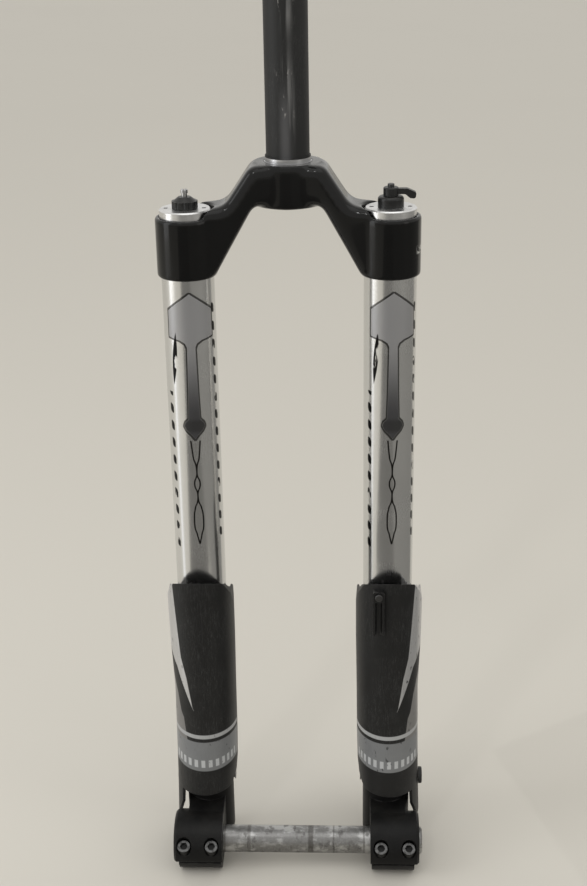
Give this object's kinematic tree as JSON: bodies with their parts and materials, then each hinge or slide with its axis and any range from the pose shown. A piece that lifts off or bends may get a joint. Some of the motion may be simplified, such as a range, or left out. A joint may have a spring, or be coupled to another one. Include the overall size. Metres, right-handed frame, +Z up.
{
  "type": "bicycle suspension fork",
  "caption": "Inverted single-crown suspension fork with a plain steerer, guarded sliding legs, a clamped through axle and knobs on the leg caps.",
  "frame": {"origin": "centre of the bottom of the crown race seat, on the steerer axis", "axes": "+Z up along the steerer; the fork's front faces -Y; +X is the rider's left, the disc brake side"},
  "size_m": [0.1866, 0.1036, 0.7205],
  "materials": {
    "steerer": "matt black, rubbed bright in places, bare metal race seat",
    "gloss_black": "high gloss black lacquer over a forging",
    "polished_tube": "polished and clear anodised, with plain grey decals",
    "cap_silver": "turned and anodised silver",
    "seal_rubber": "moulded rubber",
    "bush": "coated bronze bush",
    "steel": "zinc plated steel",
    "plastic_black": "moulded black plastic",
    "spring_steel": "black painted spring steel",
    "stanchion_chrome": "hard chromed, ground",
    "alloy": "turned aluminium",
    "satin_black": "satin black paint over a casting",
    "guard_plastic": "dark grained plastic with plain grey printed bands",
    "steel_black": "blackened steel",
    "axle_alloy": "bare aluminium, worn and scratched",
    "control_black": "black anodised aluminium",
    "adjuster_steel": "turned steel"
  },
  "bodies": {
    "uppers": {"steerer_tube": "steerer", "crown": "gloss_black", "outer_tube_left": "polished_tube", "top_cap_left": "cap_silver", "top_cap_o_ring_left": "seal_rubber", "fixed_bush_left": "bush", "oil_seal_left": "seal_rubber", "seal_clip_left": "steel", "dust_wiper_left": "seal_rubber", "damper_rod_left": "steel", "damper_piston_left": "bush", "preload_spacer_left": "plastic_black", "main_spring_left": "spring_steel", "outer_tube_right": "polished_tube", "top_cap_right": "cap_silver", "top_cap_o_ring_right": "seal_rubber", "fixed_bush_right": "bush", "oil_seal_right": "seal_rubber", "seal_clip_right": "steel", "dust_wiper_right": "seal_rubber", "damper_rod_right": "steel", "damper_piston_right": "bush", "preload_spacer_right": "plastic_black", "main_spring_right": "spring_steel", "lockout_base": "control_black"},
    "lowers": {"stanchion_left": "stanchion_chrome", "slider_bush_left": "bush", "cartridge_tube_left": "alloy", "cartridge_head_left": "alloy", "foot_bolt_left": "steel", "axle_foot_left": "satin_black", "pinch_bolts_left": "steel", "guard_left": "guard_plastic", "guard_screws_left": "steel_black", "stanchion_right": "stanchion_chrome", "slider_bush_right": "bush", "cartridge_tube_right": "alloy", "cartridge_head_right": "alloy", "foot_bolt_right": "steel", "axle_foot_right": "satin_black", "pinch_bolts_right": "steel", "guard_right": "guard_plastic", "guard_screws_right": "steel_black", "hose_clip": "plastic_black", "hose_clip_screw": "steel_black", "hose_guide": "plastic_black"},
    "through_axle": {"axle": "axle_alloy"},
    "lockout": {"lockout_lever": "control_black", "lever_screw": "steel_black"},
    "preload": {"preload_knob": "control_black"},
    "rebound": {"rebound_adjuster": "adjuster_steel"}
  },
  "joints": [
    {"name": "fork_travel", "type": "slide", "parent": "uppers", "child": "lowers", "axis": [0, 0, 1], "range_m": [0, 0.1], "stiffness_N_per_m": 7000, "springref_m": -0.004, "deforming": ["main_spring_left", "main_spring_right"]},
    {"name": "axle_slide", "type": "slide", "parent": "lowers", "child": "through_axle", "axis": [1, 0, 0], "range_m": [0, 0.19]},
    {"name": "lockout_turn", "type": "hinge", "parent": "uppers", "child": "lockout", "pos_m": [0.067, -0.018, -0.018], "axis": [0, 0, 1], "range_deg": [-90, 0]},
    {"name": "preload_turn", "type": "hinge", "parent": "uppers", "child": "preload", "pos_m": [-0.067, -0.018, -0.024], "axis": [0, 0, 1], "range_deg": [0, 720]},
    {"name": "rebound_turn", "type": "hinge", "parent": "preload", "child": "rebound", "pos_m": [-0.067, -0.018, -0.016], "axis": [0, 0, 1], "range_deg": [0, 360]}
  ]
}
